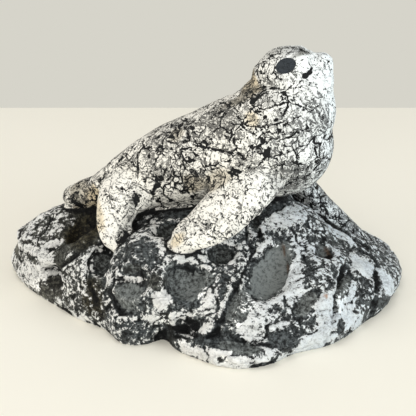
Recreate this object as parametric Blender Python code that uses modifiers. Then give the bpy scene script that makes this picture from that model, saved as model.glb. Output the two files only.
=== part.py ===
"""Seal resting on a rock: one fired-clay figure, modelled as one closed solid.

Frame: X runs from the tail to the chest, Y runs away from the side the seal is seen from,
Z is up. The origin is the centre of the flat underside.
"""

from math import cos, pi, radians, sin

import bmesh
import bpy
import numpy as np
from mathutils import Euler, Matrix, Vector
from mathutils.bvhtree import BVHTree

MM = 0.001

# Overall size of the figure, in millimetres. The forms below are modelled close to it, and
# the finished figure is brought to it exactly.
LENGTH = 230.0
DEPTH = 157.0
HEIGHT = 132.5

# Driving sizes of the forms, in millimetres.
CROWN_HEIGHT = 50.0  # top of the rock, under the seal's belly
CROWN_FULLNESS = 1.7  # how soon the top levels out: 1 is a cone, 2 a round dome
RIM_HEIGHT = 5.0  # widest line of the rock above the table
UNDERCUT = 1.5  # how far the foot is drawn in under that line
ROCK_LEAN = 0.30  # how far the rock's side leans in, for each millimetre it rises
ROCK_MIDDLE = (4.7, 2.3)  # what the directions in ROCK_OUTLINE are measured from
CHEST_RADIUS = 28.0
SKULL_RADIUS = 17.0
EYE_DEPTH = 0.8

# Fineness of the modelled surface.
ROCK_VOXEL = 1.6
SEAL_VOXEL = 1.3
FIGURE_VOXEL = 1.4
FACE_BUDGET = 10800  # triangles on the figure before its underside is cut flat

CLAY_COLOUR = (0.30, 0.30, 0.29, 1.0)

# The rock as seen from above: direction from ROCK_MIDDLE in degrees, reach to the rim, and
# height of the shoulder where the side turns into the top.
ROCK_OUTLINE = [
    (-5, 107, 10),
    (5, 111, 8),
    (16, 108, 10),
    (28, 95, 12),
    (45, 84, 14),
    (65, 76, 15),
    (90, 74, 15),
    (115, 76, 15),
    (135, 85, 16),
    (152, 99, 20),
    (164, 116, 23),
    (172, 121, 24),
    (178, 117, 25),
    (188, 104, 25),
    (199, 91, 24),
    (209, 84, 22),
    (222, 76, 18),
    (233, 78, 12),
    (241, 73, 10),
    (247, 64, 8),
    (254, 70, 7),
    (264, 75, 6),
    (272, 80, 6),
    (280, 83, 6),
    (290, 83, 7),
    (300, 81, 8),
    (314, 87, 10),
    (330, 91, 12),
    (337, 96, 12),
    (346, 101, 12),
]

# Boulders that stand out of the rock: centre, radii, turn about X, Y, Z.
BOULDERS = {
    "middle_block": ((-18, -33, 25), (33, 29, 18), (30, 4, 6)),
    "middle_chin": ((0, -47, 19), (15, 15, 9), (25, 0, -20)),
    "left_shoulder": ((-60, -16, 18), (20, 27, 20), (12, 0, 28)),
    "left_crag": ((-84, 10, 14), (24, 22, 24), (0, -8, 0)),
    "tail_rest": ((-65, 18, 26), (20, 18, 15), (0, 0, 0)),
    "tail_crag": ((-79, 14, 31), (13, 13, 9.5), (0, 10, 20)),
    "belly_rest": ((-4, 11, 40), (54, 17, 15), (0, -8, 0)),
    "foot_knuckle": ((-34, -51, 5), (13, 9, 7), (0, 0, 12)),
    "chest_ledge": ((44, 0, 36), (26, 20, 13), (0, 14, -8)),
    "right_slab": ((62, -26, 16), (22, 32, 17), (0, 22, -24)),
    "right_knob": ((90, -12, 9), (16, 20, 10), (0, 18, -30)),
    "right_ridge": ((86, 26, 5), (24, 17, 12), (0, 20, 0)),
    "flipper_ridge": ((62, 24, 20), (34, 22, 16), (0, 32, -6)),
    "back_block": ((-16, 46, 14), (33, 33, 24), (-20, 0, 10)),
    "back_slab": ((38, 50, 10), (30, 27, 17), (-14, 10, -16)),
    "back_left": ((-66, 38, 9), (32, 26, 17), (-10, -12, 24)),
    "back_right": ((78, 44, 7), (24, 20, 12), (0, 14, -35)),
}

# Hollows in the rock: place from above, length and width, depth, and turn of the length
# from X, seen from above.
HOLLOWS = {
    "big_pan": ((-9, -50), (25, 20), 7.0, 68),
    "left_pan": ((-36, -51), (22, 16), 5.0, 6),
    "high_pan": ((-52, -31), (19, 13), 5.5, 70),
    "shade_pan": ((-67, -4), (30, 17), 8.5, 70),
    "lobe_pan": ((-92, 2), (22, 18), 3.0, 60),
    "foot_pan": ((-82, -23), (19, 13), 6.5, 150),
    "flipper_pan": ((9, -35), (17, 12), 6.0, 15),
    "long_pan": ((33, -41), (38, 22), 6.5, 64),
    "lip_channel": ((20, -71), (42, 10), 3.5, -6),
    "chin_notch": ((-9, -62), (18, 10), 6.0, 0),
    "right_pan": ((63, -25), (14, 11), 5.5, 40),
    "low_pan": ((51, -52), (20, 12), 2.5, 30),
    "right_groove": ((73, -36), (28, 8), 5.0, 62),
    "between_flippers": ((-19, -22), (22, 14), 5.5, 45),
    "back_pan": ((-14, 60), (32, 22), 8.0, 0),
    "back_groove": ((13, 56), (40, 10), 6.0, 78),
    "back_left_pan": ((-66, 46), (26, 20), 7.0, -30),
    "back_left_groove": ((-42, 50), (34, 9), 6.0, 60),
    "back_right_pan": ((46, 56), (24, 16), 6.5, -20),
}

# The seal's limbs: stations (x, y, z, half width, half thickness) along each, and the way
# its flat side faces.
SIDE_ON = (0.0, 1.0, 0.0)
LIMBS = {
    "trunk": (
        [
            (-60, 11, 51.5, 8.5, 8),
            (-43, 9, 58.5, 15, 14),
            (-28, 8, 64, 20.5, 19.5),
            (-12, 8, 69.5, 24, 22.5),
            (4, 8, 74.5, 25.5, 25),
            (16, 8, 78.5, 27.5, 27),
            (28, 8, 82.5, CHEST_RADIUS, CHEST_RADIUS),
            (39, 8, 86, 26.5, 26),
        ],
        SIDE_ON,
    ),
    "neck": (
        [
            (35, 8, 84, 29, 26.5),
            (39, 8, 92, 29.5, 26),
            (42.5, 8, 100, 26.5, 25),
            (45, 8, 107, 23, 22.5),
            (45.8, 8, 112.5, 20.4, 19.5),
            (44.8, 8, 117, 19, 17),
            (44.6, 8, 121.5, 14.5, 14),
        ],
        SIDE_ON,
    ),
    "muzzle": (
        [
            (42, 8, 117, 14, 13),
            (51, 8, 119.8, 11.6, 10.5),
            (57, 8, 121.2, 9.4, 8.6),
            (61.8, 8, 121.9, 7.4, 6.8),
            (65.2, 8, 122, 4.4, 4.2),
        ],
        SIDE_ON,
    ),
    "near_front_flipper": (
        [
            (33, -8, 74, 14, 9),
            (22, -18, 66.5, 14.5, 7.5),
            (9.5, -27, 56.5, 13.8, 5.8),
            (-0.5, -32, 50.4, 11.5, 5),
            (-8, -34, 47.8, 9.2, 4.6),
            (-13, -35.2, 46.4, 6.6, 4),
            (-16, -35.8, 45.6, 3.2, 3),
        ],
        (0.1, -0.6, 0.8),
    ),
    "near_hind_flipper": (
        [
            (-33, 3, 61.5, 15.5, 12),
            (-43.5, -5.5, 56, 13.5, 9.5),
            (-46.6, -13.5, 49.8, 10.8, 7),
            (-47.4, -19.5, 43.8, 9.2, 5.2),
            (-47.4, -24.5, 38.9, 6.4, 4),
            (-47.6, -27.3, 36, 3.2, 2.4),
        ],
        (0.1, -0.7, 0.7),
    ),
    "far_hind_flipper": (
        [
            (-48, 12, 55, 12, 10),
            (-60, 13.5, 51, 11, 8.8),
            (-70, 15.5, 47.8, 10, 7.6),
            (-76, 17, 46, 8.2, 6),
            (-80, 18, 45, 4.8, 4),
        ],
        (0, 0, 1),
    ),
    "far_front_flipper": (
        [
            (42, 25, 66, 14, 10),
            (57, 28, 48, 13.5, 7.5),
            (70, 28, 35.5, 12.5, 6),
            (82, 25, 26, 10.5, 4.8),
            (91, 21, 19.5, 7.5, 3.6),
            (97, 18, 16, 3, 2.4),
        ],
        (0.6, 0.1, 0.8),
    ),
}

# The rounder masses: centre and radii.
MASSES = {
    "chest": ((39.5, 8, 80), (30, CHEST_RADIUS, CHEST_RADIUS)),
    "skull": ((43.5, 8, 115.5), (17.5, 16.5, SKULL_RADIUS)),
}

# Eyes: a point beside each on the head, and the length and height of an eye.
EYES = {"near": (38, -7, 122), "far": (38, 23, 122)}
EYE_SIZE = (12.0, 9.0)

# Step between brow and muzzle: its middle, its length along and across the head, its depth.
BROW_POINT = (54.0, 8.0, 133.0)
BROW_SIZE = (11.0, 25.0)
BROW_DEPTH = 2.4


def clear_scene():
    for obj in list(bpy.data.objects):
        bpy.data.objects.remove(obj, do_unlink=True)


def curve_point(points, i, t):
    """Catmull-Rom curve between points i and i + 1; a point is a tuple of any length."""
    last = len(points) - 1
    four = (points[max(i - 1, 0)], points[i], points[i + 1], points[min(i + 2, last)])
    return tuple(
        b + 0.5 * t * (c - a + t * (2 * a - 5 * b + 4 * c - d + t * (3 * (b - c) + d - a)))
        for a, b, c, d in zip(*four)
    )


def smooth_path(points, steps, first=0, last=None):
    last = len(points) - 1 if last is None else last
    return [
        curve_point(points, i, step / steps) for i in range(first, last) for step in range(steps)
    ]


def skin(shape, rings):
    """Closes a stack of equal rings of positions, given in mm, into one body."""
    rows = [[shape.verts.new(point * MM) for point in ring] for ring in rings]
    count = len(rows[0])
    for lower, upper in zip(rows, rows[1:]):
        for k in range(count):
            n = (k + 1) % count
            shape.faces.new((lower[k], lower[n], upper[n], upper[k]))
    shape.faces.new(list(reversed(rows[0])))
    shape.faces.new(rows[-1])


def ellipsoid(shape, centre, radii, turn=(0.0, 0.0, 0.0)):
    place = (
        Matrix.Translation(Vector(centre) * MM)
        @ Euler([radians(a) for a in turn]).to_matrix().to_4x4()
        @ Matrix.Diagonal((*(Vector(radii) * MM), 1.0))
    )
    bmesh.ops.create_uvsphere(shape, u_segments=48, v_segments=24, radius=1.0, matrix=place)


def limb(shape, stations, flat_side, around=24, steps=5):
    """A closed limb of elliptical section; its thickness lies as near flat_side as it can."""
    path = smooth_path(stations, steps) + [tuple(stations[-1])]
    rings = []
    for i, (x, y, z, width, thick) in enumerate(path):
        ahead = Vector(path[min(i + 1, len(path) - 1)][:3])
        behind = Vector(path[max(i - 1, 0)][:3])
        along = (ahead - behind).normalized()
        across = along.cross(Vector(flat_side)).normalized()
        out = across.cross(along)
        centre = Vector((x, y, z))
        angles = [2 * pi * k / around for k in range(around)]
        rings.append([centre + across * width * cos(a) + out * thick * sin(a) for a in angles])
    skin(shape, rings)


def rock_dome(shape):
    """The rock's main mass: a rolled foot, a leaning side and a rounded top."""
    before = [(azimuth - 360, *rest) for azimuth, *rest in ROCK_OUTLINE[-1:]]
    after = [(azimuth + 360, *rest) for azimuth, *rest in ROCK_OUTLINE[:2]]
    outline = smooth_path(before + ROCK_OUTLINE + after, 4, 1, len(ROCK_OUTLINE) + 1)

    def ring(profile):
        points = []
        for azimuth, reach, shoulder in outline:
            radius, height = profile(reach, max(shoulder - RIM_HEIGHT, 1.0))
            a = radians(azimuth)
            x = ROCK_MIDDLE[0] + radius * cos(a)
            y = ROCK_MIDDLE[1] + radius * sin(a)
            points.append(Vector((x, y, height)))
        return points

    def side(share):
        return ring(lambda reach, rise: (reach - ROCK_LEAN * rise * share, RIM_HEIGHT + rise * share))

    def top(share):
        def profile(reach, rise):
            level = RIM_HEIGHT + rise
            climb = 1 - (1 - share) ** CROWN_FULLNESS
            radius = (reach - ROCK_LEAN * rise) * (1 - share)
            return radius, level + (CROWN_HEIGHT - level) * climb

        return ring(profile)

    rings = [
        ring(lambda reach, rise: (reach - 2 * UNDERCUT, -RIM_HEIGHT)),
        ring(lambda reach, rise: (reach - UNDERCUT, 0.0)),
    ]
    rings += [side(share) for share in (0, 0.5, 1)]
    rings += [top(share) for share in (0.08, 0.18, 0.3, 0.44, 0.6, 0.78, 0.93)]
    skin(shape, rings)


def fused(name, shape, voxel, passes, collection):
    """One skin over the overlapping bodies in the bmesh, with their meetings softened."""
    bmesh.ops.recalc_face_normals(shape, faces=shape.faces)
    mesh = bpy.data.meshes.new(name)
    shape.to_mesh(mesh)
    shape.free()
    obj = bpy.data.objects.new(name, mesh)
    collection.objects.link(obj)
    remesh = obj.modifiers.new("skin", "REMESH")
    remesh.mode = "VOXEL"
    remesh.voxel_size = voxel * MM
    soften = obj.modifiers.new("soften", "SMOOTH")
    soften.factor = 0.5
    soften.iterations = passes
    return applied(obj)


def applied(obj):
    graph = bpy.context.evaluated_depsgraph_get()
    mesh = bpy.data.meshes.new_from_object(obj.evaluated_get(graph))
    obj.modifiers.clear()
    obj.data = mesh
    return obj


def surface_of(obj):
    shape = bmesh.new()
    shape.from_mesh(obj.data)
    tree = BVHTree.FromBMesh(shape)
    shape.free()
    return tree


def press(obj, place, normal, size, depth, turn):
    """Sinks an oval hollow of the given length and width into the surface."""
    length = Vector((cos(radians(turn)), sin(radians(turn)), 0.0))
    length = (length - normal * length.dot(normal)).normalized()
    width = normal.cross(length)
    count = len(obj.data.vertices)
    flat = np.empty(count * 3)
    obj.data.vertices.foreach_get("co", flat)
    points = flat.reshape(count, 3)
    offset = points - np.array(place)
    along = offset @ np.array(length) / (size[0] * MM / 2)
    across = offset @ np.array(width) / (size[1] * MM / 2)
    near = np.abs(offset @ np.array(normal)) < max(size) * MM / 2
    spread = np.clip(along**2 + across**2, 0, 1)
    sink = np.where(near, depth * MM * (1 - spread**2) ** 1.3, 0)
    points -= sink[:, None] * np.array(normal)
    obj.data.vertices.foreach_set("co", points.ravel())


def build_rock(collection):
    shape = bmesh.new()
    rock_dome(shape)
    for centre, radii, turn in BOULDERS.values():
        ellipsoid(shape, centre, radii, turn)
    rock = fused("rock", shape, ROCK_VOXEL, 3, collection)
    surface = surface_of(rock)
    above = CROWN_HEIGHT * 2 * MM
    for (x, y), size, depth, turn in HOLLOWS.values():
        place, normal, _, _ = surface.ray_cast(Vector((x * MM, y * MM, above)), Vector((0, 0, -1)))
        if place is None:
            place, normal, _, _ = surface.find_nearest(Vector((x * MM, y * MM, RIM_HEIGHT * MM)))
        press(rock, place, normal, size, depth, turn)
    return rock


def build_seal(collection):
    shape = bmesh.new()
    for stations, flat_side in LIMBS.values():
        limb(shape, stations, flat_side)
    for centre, radii in MASSES.values():
        ellipsoid(shape, centre, radii)
    seal = fused("seal", shape, SEAL_VOXEL, 6, collection)
    surface = surface_of(seal)
    for point in EYES.values():
        place, normal, _, _ = surface.find_nearest(Vector(point) * MM)
        press(seal, place, normal, EYE_SIZE, EYE_DEPTH, 0)
    place, normal, _, _ = surface.find_nearest(Vector(BROW_POINT) * MM)
    press(seal, place, normal, BROW_SIZE, BROW_DEPTH, 0)
    return seal


def cut_flat(obj):
    """Cuts the body at the table and closes it with a flat underside."""
    shape = bmesh.new()
    shape.from_mesh(obj.data)
    geometry = shape.verts[:] + shape.edges[:] + shape.faces[:]
    cut = bmesh.ops.bisect_plane(
        shape, geom=geometry, dist=1e-5, plane_co=(0, 0, 0), plane_no=(0, 0, 1), clear_inner=True
    )
    rim = [item for item in cut["geom_cut"] if isinstance(item, bmesh.types.BMEdge)]
    bmesh.ops.contextual_create(shape, geom=rim)
    bmesh.ops.triangulate(shape, faces=shape.faces)
    bmesh.ops.recalc_face_normals(shape, faces=shape.faces)
    shape.to_mesh(obj.data)
    shape.free()


def bring_to_size(obj):
    """Stretches the figure to its overall size, its foot at z = 0, centred on the origin."""
    count = len(obj.data.vertices)
    points = np.empty(count * 3)
    obj.data.vertices.foreach_get("co", points)
    points = points.reshape(count, 3)
    low, high = points.min(axis=0), points.max(axis=0)
    middle = np.array([(low[0] + high[0]) / 2, (low[1] + high[1]) / 2, low[2]])
    points = (points - middle) * np.array([LENGTH, DEPTH, HEIGHT]) * MM / (high - low)
    obj.data.vertices.foreach_set("co", points.ravel())


def clay():
    material = bpy.data.materials.new("painted_clay")
    material.use_nodes = True
    shader = material.node_tree.nodes["Principled BSDF"]
    shader.inputs["Base Color"].default_value = CLAY_COLOUR
    shader.inputs["Roughness"].default_value = 0.75
    shader.inputs["Metallic"].default_value = 0.0
    return material


def build_figure(collection):
    rock = build_rock(collection)
    seal = build_seal(collection)
    shape = bmesh.new()
    for obj in (rock, seal):
        shape.from_mesh(obj.data)
        bpy.data.objects.remove(obj, do_unlink=True)
    figure = fused("seal_on_rock", shape, FIGURE_VOXEL, 2, collection)
    thin = figure.modifiers.new("thin", "DECIMATE")
    triangles = sum(len(face.vertices) - 2 for face in figure.data.polygons)
    thin.ratio = FACE_BUDGET / triangles
    applied(figure)
    cut_flat(figure)
    bring_to_size(figure)
    figure.data.shade_smooth()
    figure.data.materials.append(clay())
    return figure


def main():
    clear_scene()
    collection = bpy.data.collections.new("seal_figurine")
    bpy.context.scene.collection.children.link(collection)
    build_figure(collection)


main()
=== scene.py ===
from math import radians

import bmesh
import bpy
import numpy as np
from mathutils import Matrix, Vector, noise
from mathutils.bvhtree import BVHTree


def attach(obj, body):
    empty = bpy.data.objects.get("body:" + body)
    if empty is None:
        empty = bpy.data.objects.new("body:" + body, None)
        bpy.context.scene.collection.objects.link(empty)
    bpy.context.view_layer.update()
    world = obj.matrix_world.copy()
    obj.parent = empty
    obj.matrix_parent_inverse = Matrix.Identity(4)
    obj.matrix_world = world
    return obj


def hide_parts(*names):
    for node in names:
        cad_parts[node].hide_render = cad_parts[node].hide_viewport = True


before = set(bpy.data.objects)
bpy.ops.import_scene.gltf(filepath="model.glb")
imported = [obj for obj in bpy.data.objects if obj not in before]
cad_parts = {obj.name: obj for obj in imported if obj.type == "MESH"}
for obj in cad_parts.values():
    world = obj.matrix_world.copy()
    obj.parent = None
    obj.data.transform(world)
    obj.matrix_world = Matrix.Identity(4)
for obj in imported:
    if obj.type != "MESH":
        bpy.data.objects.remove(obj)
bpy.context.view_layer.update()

mm = 0.001  # forms are given in millimetres, the scene is in metres

# The camera that the figure is looked at through. Places marked px below are picture points
# of this camera, 0,0 at the top left, and are dropped onto the figure's surface.
view = {
    "place": (2.0, -315.0, 200.0),
    "tilt": 64.0,  # degrees up from straight down
    "pixels": 416,
    "focal": 640.0,  # in pixels
    "sensor": 36.0,
}


def makeCamera():
    lens = bpy.data.cameras.new("camera")
    lens.sensor_width = view["sensor"]
    lens.lens = view["focal"] / view["pixels"] * view["sensor"]
    lens.clip_start, lens.clip_end = 0.01, 20
    camera = bpy.data.objects.new("camera", lens)
    camera.location = Vector(view["place"]) * mm
    camera.rotation_euler = (radians(view["tilt"]), 0, 0)
    bpy.context.scene.collection.objects.link(camera)
    bpy.context.scene.camera = camera


def sightLine(px, py):
    middle, focal = view["pixels"] / 2, view["focal"]
    turn = Matrix.Rotation(radians(view["tilt"]), 3, "X")
    toward = turn @ Vector(((px - middle) / focal, (middle - py) / focal, -1))
    return Vector(view["place"]) * mm, toward.normalized()


makeCamera()

# ---- the clay's mesh, as numpy arrays
clay = {
    "grain": 0.98,  # size of the mesh's squares
    "soleLimit": 0.75,  # squares lower than this share of one go from the sole
    "evenPasses": 24,  # takes the flat facets of the solid out
    "evenIn": 0.6,  # each pass in, and the pass out that keeps the size
    "evenOut": -0.61,
    "soleBand": 1.6,  # forms fade out this close to the table
    "sightNear": 240,  # where the figure lies along a line of sight
    "sightFar": 480,
}


class Clay:
    # the figure's mesh while it is being shaped; points in mm
    def __init__(self, name, source):
        mesh = source.data.copy()
        self.obj = bpy.data.objects.new(name, mesh)
        bpy.context.scene.collection.objects.link(self.obj)
        remesh = self.obj.modifiers.new("squares", "REMESH")
        remesh.mode = "VOXEL"
        remesh.voxel_size = clay["grain"] * mm
        graph = bpy.context.evaluated_depsgraph_get()
        made = bpy.data.meshes.new_from_object(self.obj.evaluated_get(graph))
        self.obj.modifiers.clear()
        self.obj.data = made
        made.name = name
        self.openSole()
        self.readMesh()

    def openSole(self):
        # the squares under the figure go, and one flat face closes it again at the end
        shape = bmesh.new()
        shape.from_mesh(self.obj.data)
        limit = clay["grain"] * clay["soleLimit"] * mm
        under = [f for f in shape.faces if all(v.co.z < limit for v in f.verts)]
        bmesh.ops.delete(shape, geom=under, context="FACES")
        loose = [v for v in shape.verts if not v.link_faces]
        bmesh.ops.delete(shape, geom=loose, context="VERTS")
        for v in shape.verts:
            if v.is_boundary:
                v.co.z = 0
        shape.to_mesh(self.obj.data)
        shape.free()

    def readMesh(self):
        mesh = self.obj.data
        self.count = len(mesh.vertices)
        flat = np.empty(self.count * 3)
        mesh.vertices.foreach_get("co", flat)
        self.points = flat.reshape(-1, 3) / mm
        ends = np.empty(len(mesh.edges) * 2, dtype=np.int64)
        mesh.edges.foreach_get("vertices", ends)
        self.one, self.two = ends.reshape(-1, 2).T
        self.degree = np.bincount(self.one, minlength=self.count) + np.bincount(
            self.two, minlength=self.count
        )
        self.free = np.clip(self.points[:, 2] / clay["soleBand"], 0, 1)
        self.refresh()

    def refresh(self):
        mesh = self.obj.data
        mesh.vertices.foreach_set("co", (self.points * mm).ravel())
        mesh.update()
        flat = np.empty(self.count * 3)
        mesh.vertex_normals.foreach_get("vector", flat)
        self.normals = flat.reshape(-1, 3)

    def around(self, values):
        # mean of each point's neighbours
        if values.ndim == 1:
            total = np.bincount(self.one, values[self.two], self.count)
            return (total + np.bincount(self.two, values[self.one], self.count)) / self.degree
        return np.stack([self.around(values[:, k]) for k in range(values.shape[1])], 1)

    def soften(self, values, passes):
        for _ in range(passes):
            values = values + 0.5 * (self.around(values) - values)
        return values

    def even(self, passes):
        # smooths without shrinking: a pass in, a pass out
        free = (self.points[:, 2] > 0.01)[:, None]
        for _ in range(passes):
            for step in (clay["evenIn"], clay["evenOut"]):
                move = step * (self.around(self.points) - self.points)
                self.points = self.points + move * free
        self.refresh()

    def push(self, amount):
        # moves the surface out by amount, in mm
        self.points = self.points + self.normals * (amount * self.free)[:, None]
        self.points[:, 2] = np.maximum(self.points[:, 2], 0)

    def keepSurface(self):
        self.tree = BVHTree.FromPolygons(
            [Vector(p) for p in self.points],
            [tuple(f.vertices) for f in self.obj.data.polygons],
        )

    def pick(self, place):
        # a px point seen by the camera, or a point in mm that is moved to the surface
        if len(place) == 2:
            start, toward = sightLine(*place)
            point, normal, _, _ = self.tree.ray_cast(start / mm, toward)
            if point is None:  # just past the outline: the clay nearest to the line of sight
                reaches = range(clay["sightNear"], clay["sightFar"], 4)
                hits = [self.tree.find_nearest(start / mm + toward * reach) for reach in reaches]
                point, normal = min(hits, key=lambda hit: hit[3])[:2]
        else:
            point, normal, _, _ = self.tree.find_nearest(Vector(place))
        return np.array(point), np.array(normal)

    def note(self, name, values):
        layer = self.obj.data.attributes.new(name, "FLOAT", "POINT")
        layer.data.foreach_set("value", np.asarray(values, dtype=np.float32))

    def closeSole(self):
        shape = bmesh.new()
        shape.from_mesh(self.obj.data)
        rim = [e for e in shape.edges if e.is_boundary]
        made = bmesh.ops.contextual_create(shape, geom=rim)
        bmesh.ops.triangulate(shape, faces=made["faces"])
        bmesh.ops.recalc_face_normals(shape, faces=shape.faces)
        shape.to_mesh(self.obj.data)
        shape.free()


def fade(low, high, x):
    # 0 below low, 1 above high, soft between
    t = np.clip((x - low) / (high - low), 0, 1)
    return t * t * (3 - 2 * t)


def grainOf(points, size, octaves=4, shift=0.0, roughness=1.0):
    # fractal noise at each point, about -1 to 1; size is its widest wave in mm
    return np.array(
        [
            noise.fractal(Vector(p) / size + Vector([shift] * 3), roughness, 2.0, octaves)
            for p in points
        ]
    )


figure = Clay("sealFigurine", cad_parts["seal_on_rock"])
figure.even(clay["evenPasses"])
print("clay", figure.count, "points")

# ---- which part of the clay is seal: its limbs as in the solid
# stations (x, y, z, half width, half thickness) along each limb, and where its flat side faces
limbs = {
    "trunk": (
        [
            (-60, 11, 51.5, 8.5, 8),
            (-43, 9, 58.5, 15, 14),
            (-28, 8, 64, 20.5, 19.5),
            (-12, 8, 69.5, 24, 22.5),
            (4, 8, 74.5, 25.5, 25),
            (16, 8, 78.5, 27.5, 27),
            (28, 8, 82.5, 28, 28),
            (39, 8, 86, 26.5, 26),
        ],
        (0, 1, 0),
    ),
    "neck": (
        [
            (35, 8, 84, 29, 26.5),
            (39, 8, 92, 29.5, 26),
            (42.5, 8, 100, 26.5, 25),
            (45, 8, 107, 23, 22.5),
            (45.8, 8, 112.5, 20.4, 19.5),
            (44.8, 8, 117, 19, 17),
            (44.6, 8, 121.5, 14.5, 14),
        ],
        (0, 1, 0),
    ),
    "nearFrontFlipper": (
        [
            (33, -8, 74, 14, 9),
            (22, -18, 66.5, 14.5, 7.5),
            (9.5, -27, 56.5, 13.8, 5.8),
            (-0.5, -32, 50.4, 11.5, 5),
            (-8, -34, 47.8, 9.2, 4.6),
            (-13, -35.2, 46.4, 6.6, 4),
            (-16, -35.8, 45.6, 3.2, 3),
        ],
        (0.1, -0.6, 0.8),
    ),
    "nearHindFlipper": (
        [
            (-33, 3, 61.5, 15.5, 12),
            (-43.5, -5.5, 56, 13.5, 9.5),
            (-46.6, -13.5, 49.8, 10.8, 7),
            (-47.4, -19.5, 43.8, 9.2, 5.2),
            (-47.4, -24.5, 38.9, 6.4, 4),
            (-47.6, -27.3, 36, 3.2, 2.4),
        ],
        (0.1, -0.7, 0.7),
    ),
    "farHindFlipper": (
        [
            (-48, 12, 55, 12, 10),
            (-60, 13.5, 51, 11, 8.8),
            (-70, 15.5, 47.8, 10, 7.6),
            (-76, 17, 46, 8.2, 6),
            (-80, 18, 45, 4.8, 4),
        ],
        (0, 0, 1),
    ),
    "farFrontFlipper": (
        [
            (42, 25, 66, 14, 10),
            (57, 28, 48, 13.5, 7.5),
            (70, 28, 35.5, 12.5, 6),
            (82, 25, 26, 10.5, 4.8),
            (91, 21, 19.5, 7.5, 3.6),
            (97, 18, 16, 3, 2.4),
        ],
        (0.6, 0.1, 0.8),
    ),
}
masses = {"chest": ((39.5, 8, 80), (30, 28, 28)), "head": ((48, 8, 118), (21, 17, 18))}
stationSteps = 4  # ovals between one station and the next
gapPasses = 6  # softens the line where seal and rock meet


def limbGap(points, stations, flatSide):
    # distance outside the limb, in mm; less than 0 inside
    table = np.array(stations, dtype=float)
    steps = np.arange(0, len(table) - 1, 1 / stationSteps)
    path = np.stack([np.interp(steps, np.arange(len(table)), column) for column in table.T], 1)
    gap = np.full(len(points), 1e3)
    for k, (*centre, width, thick) in enumerate(path):
        ahead = path[min(k + 1, len(path) - 1)][:3] - path[max(k - 1, 0)][:3]
        along = ahead / np.linalg.norm(ahead)
        across = np.cross(along, flatSide)
        across /= np.linalg.norm(across)
        out = np.cross(across, along)
        away = points - centre
        reach = np.sqrt(
            (away @ across / width) ** 2 + (away @ out / thick) ** 2 + (away @ along / thick) ** 2
        )
        gap = np.minimum(gap, (reach - 1) * thick)
    return gap


limbGaps = {name: limbGap(figure.points, *limb) for name, limb in limbs.items()}
massGaps = [
    (np.linalg.norm((figure.points - centre) / radii, axis=1) - 1) * min(radii)
    for centre, radii in masses.values()
]
sealGap = np.minimum.reduce(list(limbGaps.values()) + massGaps)
sealGap = figure.soften(sealGap, gapPasses)
print("seal told from rock")

# ---- forms worked into the clay
def oval(at, end, **sizes):
    # px points, or points in mm: the form's middle, and the end of its length
    return {"at": at, "end": end, **sizes}


def line(*path, **sizes):
    return {"path": path, **sizes}


# width and depth are in mm. rim is a px point on the side where the wall is steep, tone is how
# pale the floor is, -1 to 1, and worn 0 leaves the paint on it. The floor darkens towards the
# steep rim as painted shade, and the low tones of the notch and the recess are partly painted
# shade.
hollows = {
    "bigCrater": oval((193, 287), (200, 265), width=24, depth=1.7, rim=(174, 280), tone=0.3),
    "leftPan": oval((130, 294), (147, 292), width=15, depth=1.3, rim=(114, 290), tone=0.2),
    "tallPan": oval((104, 265), (97, 250), width=13, depth=1.2, rim=(114, 262), tone=-0.4),
    "recess": oval((80, 237), (88, 219), width=17, depth=1.5, rim=(92, 236), tone=-0.9),
    "lobePan": oval((46, 290), (66, 289), width=15, depth=1.4, rim=(62, 281), tone=-0.7),
    "flipperPan": oval((221, 257), (234, 254), width=12, depth=1.2, rim=(212, 251), tone=-0.3),
    "longPan": oval((268, 276), (250, 304), width=21, depth=1.4, rim=(284, 264), tone=0.9),
    "rightCrater": oval((323, 251), (330, 259), width=10, depth=1.3, rim=(316, 246), tone=0.1),
    "slopePan": oval((307, 305), (320, 291), width=10, depth=1.0, rim=(298, 300), tone=-0.1),
    "groove": oval((344, 286), (350, 271), width=7, depth=1.2, rim=(339, 284), tone=0.1),
    "lipPit": oval((221.5, 361), (229, 361), width=6.4, depth=1.8, rim=(221, 358), tone=-0.9),
    "notch": oval((178, 337), (197, 343), width=6, depth=1.3, rim=(176, 331), tone=-1.0),
    "channel": oval((238, 347), (266, 352), width=9, depth=1.2, rim=(250, 343), tone=0.1),
    "darkPit": oval((167, 231), (177, 222), width=11, depth=1.2, rim=(176, 228), tone=-0.6),
    "foldPit": oval((254, 222), (256, 233), width=6, depth=1.2, rim=(258, 222), tone=-0.6),
    "slabSmooth": oval((240, 306), (226, 331), width=15, depth=0.3, tone=0.1),
    "blockSmooth": oval((131, 269), (144, 267), width=7, depth=0.4, tone=-0.5),
    "craterShelf": oval((206, 278), (213, 270), width=11, depth=0.3, tone=-0.2),
    "napeDip": oval((18, 8.5, 110), (18, 24, 108), width=15, depth=0.9, worn=0),
    "backPan": oval((-14, 70, 20), (4, 72, 20), width=24, depth=1.4),
    "backLeftPan": oval((-66, 52, 14), (-52, 58, 14), width=17, depth=1.3),
    "backRightPan": oval((46, 66, 14), (60, 60, 14), width=18, depth=1.3),
    "backEndPan": oval((96, 44, 10), (104, 34, 10), width=14, depth=1.6),
    "leftEndPan": oval((-108, 14, 16), (-104, 26, 16), width=12, depth=1.5),
}
# knobs and lumps that stand up
lumps = {
    "rightKnob": oval((361, 270), (374, 268), width=12, depth=1.6),
    "endKnob": oval((389, 285), (391, 299), width=9, depth=1.6),
    "paleLump": oval((160, 300), (166, 308), width=8, depth=1.2),
    "brow": oval((52, 8.5, 131), (52, 22, 128), width=14, depth=1.8),
    "headBack": oval((30, 8.5, 128), (30, 24, 125), width=26, depth=0.7),
    "neckBack": oval((24.5, 8.5, 119), (24.5, 22, 118), width=18, depth=1.6),
    "chin": oval((330, 80), (331, 92), width=16, depth=1.0),
    "throat": oval((330, 116), (331, 138), width=26, depth=1.9),
    "backLump": oval((20, 74, 12), (30, 72, 12), width=14, depth=1.8),
}
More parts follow.
